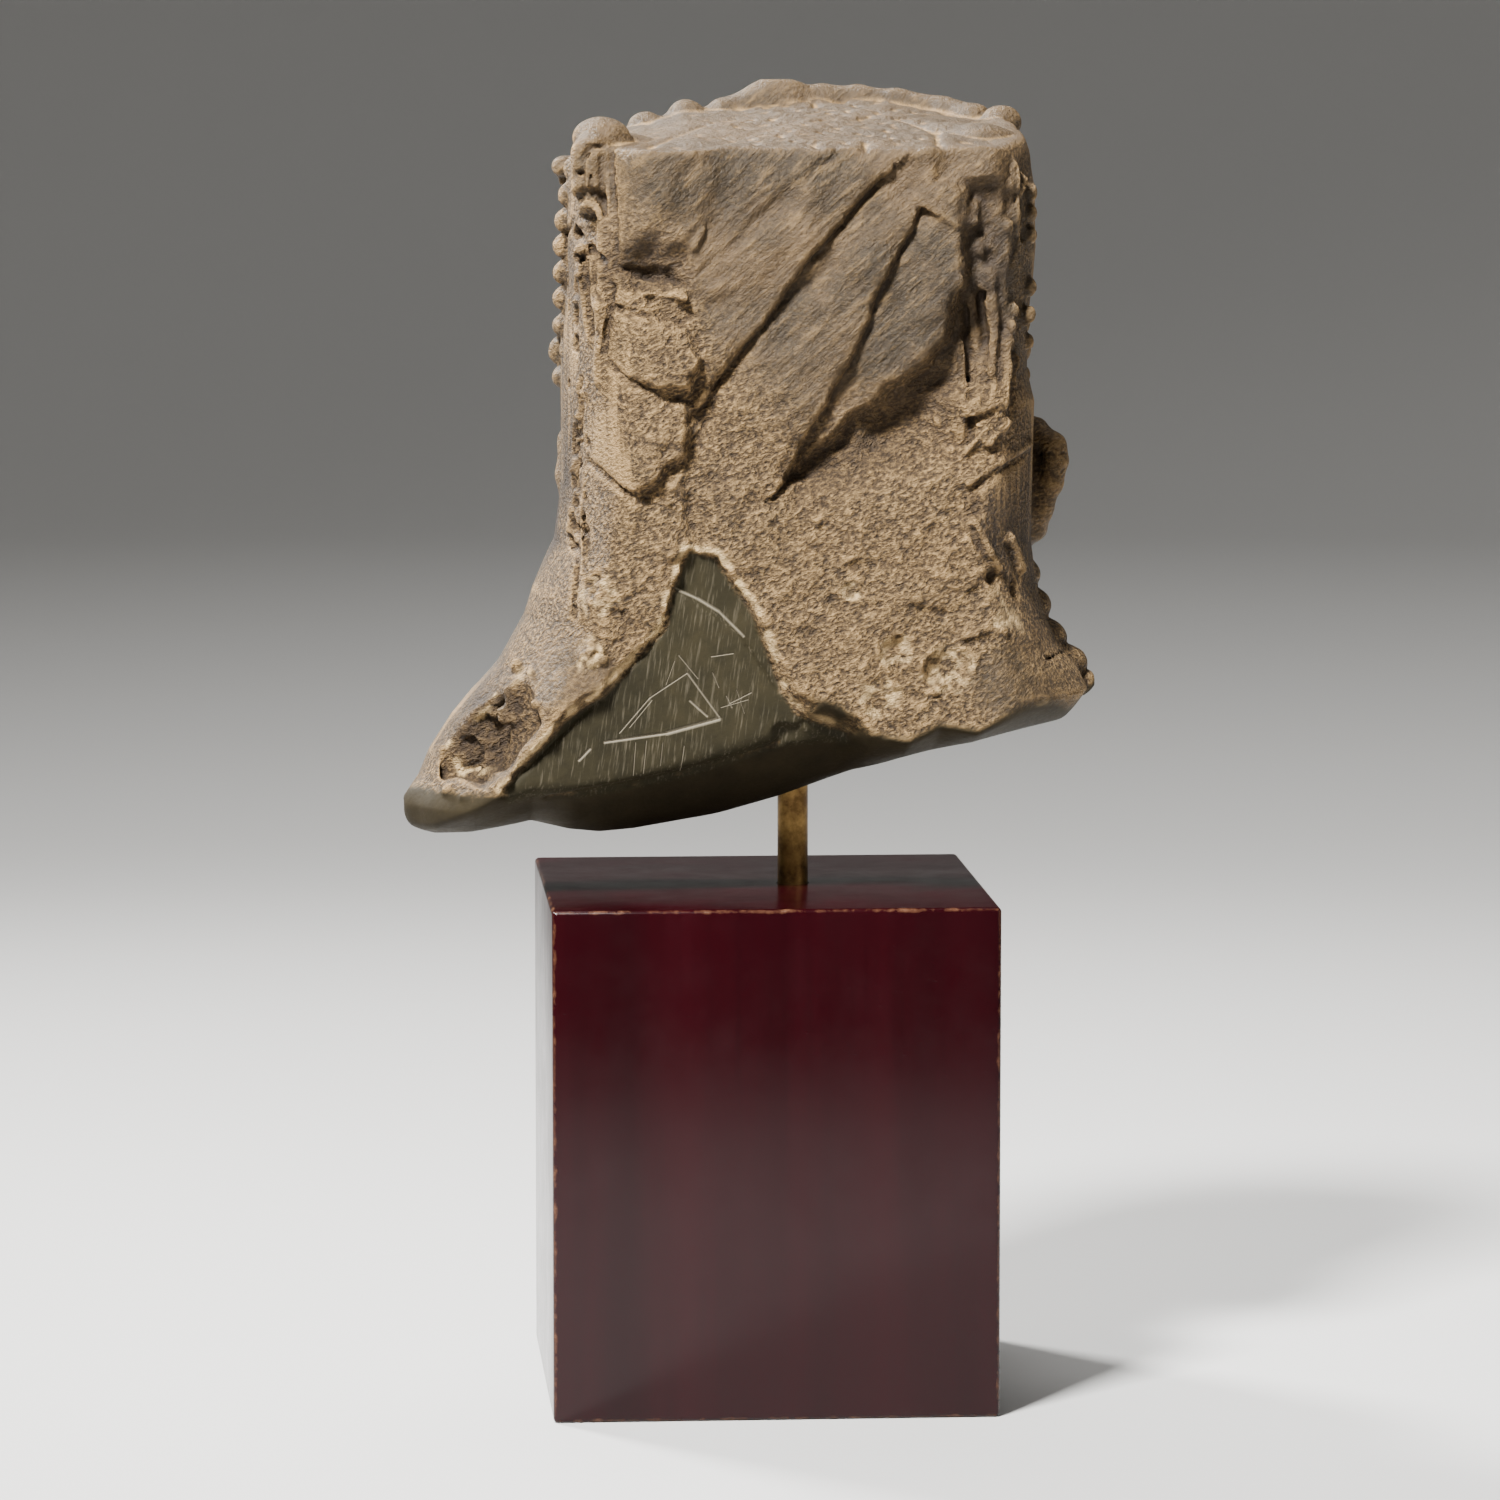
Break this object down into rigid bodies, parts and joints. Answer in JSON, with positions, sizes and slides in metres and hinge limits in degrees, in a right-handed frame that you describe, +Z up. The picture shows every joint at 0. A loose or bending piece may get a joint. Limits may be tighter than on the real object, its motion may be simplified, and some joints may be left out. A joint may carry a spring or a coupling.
{
  "type": "stone head sculpture",
  "caption": "Crowned stone head broken from a relief, standing above a square lacquered wooden block on a slim brass rod.",
  "frame": {"origin": "middle of the block's underside, on the surface that it stands on", "axes": "+Z up; the face looks along -Y and the rough back along +Y; X runs across the head"},
  "size_m": [0.1817, 0.1245, 0.3421],
  "materials": {
    "stone": "dark weathered schist, rough-hewn behind, with pale crust in the recesses and a smooth split face",
    "brass": "drawn rod, dull satin with brown tarnish",
    "lacquered_wood": "dark red high-gloss lacquer, rubbed at the edges"
  },
  "bodies": {
    "root": {"stone_head": "stone", "brass_rod": "brass", "plinth_block": "lacquered_wood"}
  },
  "joints": []
}
